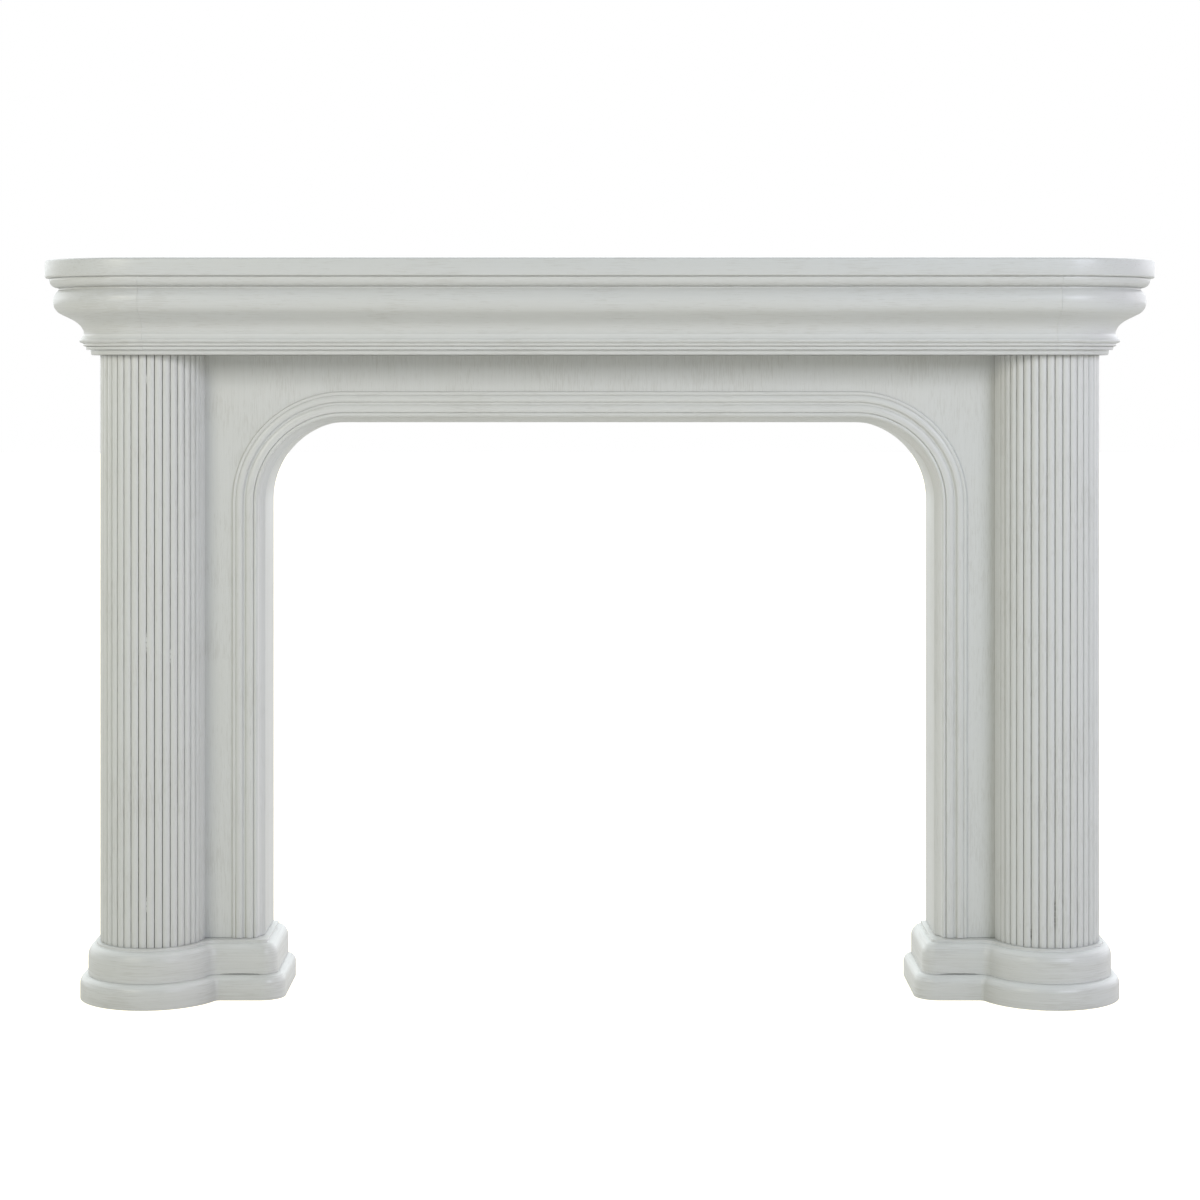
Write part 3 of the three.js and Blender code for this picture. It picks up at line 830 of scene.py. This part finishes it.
# painted shade under the soffit in grain ticks, and a painted shadow line right under it
panelShade = {"topReach": 0.030, "topShare": 0.07, "ticks": (700.0, 700.0, 30.0), "tickDetail": 3.0,
              "tickRange": (0.45, 0.65), "lineReach": 0.0016, "lineShare": 0.4}


def stainQuirks(tree, place):  # olive glaze in the moulding's quirks, most of it near the feet
    run, out, _ = splitPlace(tree, place)
    outer = opening["cornerRadius"] + opening["mouldWidth"]
    lines = 0.0
    for inward in quirkStain["inward"]:
        away = doMath(tree, "ABSOLUTE", doMath(tree, "SUBTRACT", out, outer - inward))
        lines = doMath(tree, "ADD", rangeTo(tree, away, 0.0, quirkStain["width"], 1.0, 0.0), lines)
    footRun = rangeTo(tree, doMath(tree, "ABSOLUTE", run), quirkStain["footFrom"], quirkStain["footTo"],
                      quirkStain["headShare"], 1.0)
    brushed = stretchedNoise(tree, place, quirkStain["breaks"], quirkStain["detail"])
    kept = rangeTo(tree, brushed, *quirkStain["brushed"], quirkStain["least"], 1.0)
    return doMath(tree, "MULTIPLY", lines, doMath(tree, "MULTIPLY", footRun, kept))


def paintPanelShade(tree, place):  # painted shade under the soffit, broken up by the grain's ticks, and a painted shadow line right under it
    z = splitPlace(tree, place)[2]
    under = rangeTo(tree, z, panelHigh.z - panelShade["topReach"], panelHigh.z)
    tickNoise = stretchedNoise(tree, place, panelShade["ticks"], panelShade["tickDetail"])
    ticks = rangeTo(tree, tickNoise, *panelShade["tickRange"])
    line = rangeTo(tree, z, panelHigh.z - panelShade["lineReach"], panelHigh.z,
                   0.0, panelShade["lineShare"])
    underShare = doMath(tree, "MULTIPLY", doMath(tree, "MULTIPLY", under, ticks), panelShade["topShare"])
    return doMath(tree, "MAXIMUM", line, underShare)


panelTone = {"poreLevel": 0.86, "glazeAndPaintedLightShare": 1.0}
panelWash = makeWash("panel wash", {**washLook, **upZ, **panelTone}, glazeAndPaintedLight=paintPanelShade)
oliveGlaze = {"glazeAndPaintedLight": (0.300, 0.290, 0.205, 1), "glazeAndPaintedLightShare": 0.6}
mouldWash = makeWash("opening moulding wash", {**washLook, **alongRun, **oliveGlaze},
                     placeFrom="grainPlace", glazeAndPaintedLight=stainQuirks)
liningWash = makeWash("lining wash", {**washLook, **alongRun}, placeFrom="grainPlace")


def carryRound(foot):  # carries the filled outline up the right leg, over the head and down the left
    steps = opening["cornerSteps"]
    pushBy(Vector((0, 0, archZ - foot)))
    turnBy(-90, Vector((archX, 0, archZ)), (0, 1, 0), steps)
    pushBy(Vector((-2 * archX, 0, 0)))
    turnBy(-90, Vector((-archX, 0, archZ)), (0, 1, 0), steps)
    pushBy(Vector((0, 0, foot - archZ)))
    faceOutwards()


def layGrainRound(piece):  # run along the opening's outline, distance out from it, and depth
    grain = piece.data.attributes.new("grainPlace", "FLOAT_VECTOR", "POINT")
    for vertex, spot in zip(piece.data.vertices, grain.data):
        x, y, z = vertex.co
        side = math.copysign(1, x)
        if z <= archZ:
            run, out = archX + bendRun + archZ - z, abs(x) - archX
        elif abs(x) > archX:
            angle = math.atan2(abs(x) - archX, z - archZ)
            run, out = archX + angle * opening["cornerRadius"], math.hypot(abs(x) - archX, z - archZ)
        else:
            run, out = abs(x), z - archZ
        spot.vector = (side * run, out, y)


def makePanel():
    foot = Vector((0, 0, opening["footGap"]))
    piece = startBlock("surround_panel.wood", panelLow + foot, panelHigh)
    bpy.ops.object.mode_set(mode="OBJECT")
    margin = opening["mouldWidth"] - opening["mouldLip"] + opening["panelClearance"]
    aside, past = opening["half"] + margin, opening["cutPast"]
    cutLow = Vector((-aside, panelLow.y - past, panelLow.z - opening["cutUnder"]))
    cutHigh = Vector((aside, panelHigh.y + past, opening["height"] + margin))
    cutter = startBlock("panelCutter", cutLow, cutHigh)
    pick("edges", lambda e: near(middle(e).z, cutHigh.z) and near(spread(e).x, 0))
    bpy.ops.mesh.bevel(offset=opening["cornerRadius"] + margin, segments=opening["cornerSteps"],
                       clamp_overlap=False)
    selectOnly(piece)
    cut = piece.modifiers.new("cut", "BOOLEAN")
    cut.operation = "DIFFERENCE"
    cut.object = cutter
    bpy.ops.object.modifier_apply(modifier="cut")
    bpy.data.objects.remove(cutter)
    bpy.ops.object.mode_set(mode="EDIT")
    faceOutwards()
    finishPiece(piece, panelWash)


def makeMoulding():
    foot = panelLow.z + opening["footGap"]
    outer = opening["half"] + opening["mouldWidth"]

    def at(inward, proud):
        return Vector((outer - inward / perMetre, axisY - proud / perMetre, foot))

    glueLine = opening["mouldGlue"] * perMetre
    piece = startOutline("opening_moulding.wood", at(0, glueLine))
    for stroke in mouldMembers:
        points = [at(*point) for point in stroke]
        if len(points) == 1:
            lineTo(points[0])
        else:
            curveTo(points[0], points[1], opening["mouldSteps"])
    lip, back = opening["mouldLip"] * perMetre, opening["mouldBack"] * perMetre
    lineTo(at(lip, -back))
    lineTo(at(lip, glueLine))
    fillOutline()
    carryRound(foot)
    bpy.ops.object.mode_set(mode="OBJECT")
    layGrainRound(piece)
    finishPiece(piece, mouldWash)


def makeLining():
    foot = panelLow.z
    left = opening["half"]
    right = liningHigh.x
    piece = startOutline("opening_lining.wood", Vector((left, liningLow.y, foot)))
    lineTo(Vector((right, liningLow.y, foot)))
    lineTo(Vector((right, wallY, foot)))
    lineTo(Vector((left, wallY, foot)))
    fillOutline()
    carryRound(foot)
    easeEdges(piece, opening["liningEase"])
    bpy.ops.object.mode_set(mode="OBJECT")
    layGrainRound(piece)
    finishPiece(piece, liningWash)


makePanel()
makeMoulding()
makeLining()
print("opening made")


# plain boards on the outer sides of the legs
sideShape = {"ease": 0.0012, "rough": 0.55}
sideWash = makeWash("side wash", {**washLook, **upZ, "rough": sideShape["rough"]})


def makeSides():
    low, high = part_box("side_board_right")
    right = startBlock("side_board_right.wood", low, high)
    easeEdges(right, sideShape["ease"])
    finishPair(right, sideWash, slot="side_wood")


makeSides()
print("sides made")


# floor, light and camera
studio = {
    "floorSize": 60.0, "floorColour": (0.5, 0.5, 0.5, 1), "floorTint": (1.0, 0.92, 0.72, 1),
    "floorRough": 0.9, "floorGloss": 0.0, "floorGlow": 0.24, "floorSeenGlow": 1.2,
    "ambient": (0.20, 0.27, 0.265, 1), "backdrop": (1.0, 1.0, 1.0, 1),
    "behind": (1.63, 1.66, 1.69, 1), "left": (0.42, 0.36, 0.42, 1), "right": (0.50, 0.36, 0.45, 1),
    "softboxSize": 1.5, "softboxReach": 4.5, "softboxTurn": 36, "softboxHeight": 2.3, "aim": (0, 0, 0.75),
    "leftPower": 61, "rightPower": 84, "leftTint": (1.0, 0.95, 0.82), "rightTint": (0.84, 0.86, 1.0),
}
# axis and direction of each side's light, and the range over which it comes in
worldSides = {"behind": ("Y", 1, 0.0, 0.5), "left": ("X", -1, 0.3, 0.9), "right": ("X", 1, 0.3, 0.9)}
lens = {"place": (0, -4.601, 1.036), "sensor": 36.0, "focal": 83.45, "shiftX": 0.0002, "shiftY": -0.1916}


def makeFloor():
    bpy.ops.object.select_all(action="DESELECT")
    bpy.ops.mesh.primitive_plane_add(size=studio["floorSize"], location=(0, 0, 0))
    floor = bpy.context.object
    floor.name = "floor"
    material = bpy.data.materials.new("studio floor")
    material.use_nodes = True
    shader = material.node_tree.nodes["Principled BSDF"]
    shader.inputs["Base Color"].default_value = studio["floorColour"]
    shader.inputs["Roughness"].default_value = studio["floorRough"]
    shader.inputs["Specular IOR Level"].default_value = studio["floorGloss"]
    shader.inputs["Emission Color"].default_value = studio["floorTint"]
    seen = addNode(material.node_tree, "ShaderNodeLightPath").outputs["Is Camera Ray"]
    glow = rangeTo(material.node_tree, seen, 0, 1, studio["floorGlow"], studio["floorSeenGlow"])
    wire(material.node_tree, glow, shader.inputs["Emission Strength"])
    floor.data.materials.append(material)


def makeWorld():  # even light all round, with more of it from some sides
    world = bpy.data.worlds.new("studio")
    world.use_nodes = True
    tree = world.node_tree
    towards = addNode(tree, "ShaderNodeSeparateXYZ")
    wire(tree, addNode(tree, "ShaderNodeTexCoord").outputs["Generated"], towards.inputs[0])
    glow = studio["ambient"]
    for side, (axis, sign, low, high) in worldSides.items():
        facing = doMath(tree, "MULTIPLY", towards.outputs[axis], sign)
        glow = mixColour(tree, rangeTo(tree, facing, low, high), glow, studio[side], "ADD")
    seen = addNode(tree, "ShaderNodeLightPath").outputs["Is Camera Ray"]
    colour = mixColour(tree, seen, glow, studio["backdrop"])
    wire(tree, colour, tree.nodes["Background"].inputs["Color"])
    bpy.context.scene.world = world


def makeLight(name, place, size, power, tint):
    bpy.ops.object.light_add(type="AREA", location=place)
    lamp = bpy.context.object
    lamp.name = name
    lamp.data.size = size
    lamp.data.energy = power
    lamp.data.color = tint
    lamp.rotation_euler = (Vector(studio["aim"]) - Vector(place)).to_track_quat("-Z", "Y").to_euler()


def makeLights():
    turn = math.radians(studio["softboxTurn"])
    aside, ahead = studio["softboxReach"] * math.sin(turn), studio["softboxReach"] * math.cos(turn)
    height, size = studio["softboxHeight"], studio["softboxSize"]
    makeLight("softbox left", (-aside, -ahead, height), size, studio["leftPower"], studio["leftTint"])
    makeLight("softbox right", (aside, -ahead, height), size, studio["rightPower"], studio["rightTint"])


def makeCamera():
    bpy.ops.object.camera_add(location=lens["place"], rotation=(math.pi / 2, 0, 0))
    camera = bpy.context.object
    camera.name = "camera"
    camera.data.sensor_width = lens["sensor"]
    camera.data.lens = lens["focal"]
    camera.data.shift_x = lens["shiftX"]
    camera.data.shift_y = lens["shiftY"]
    bpy.context.scene.camera = camera


makeFloor()
makeWorld()
makeLights()
makeCamera()
bpy.context.scene.view_settings.view_transform = "Standard"
print("studio made")
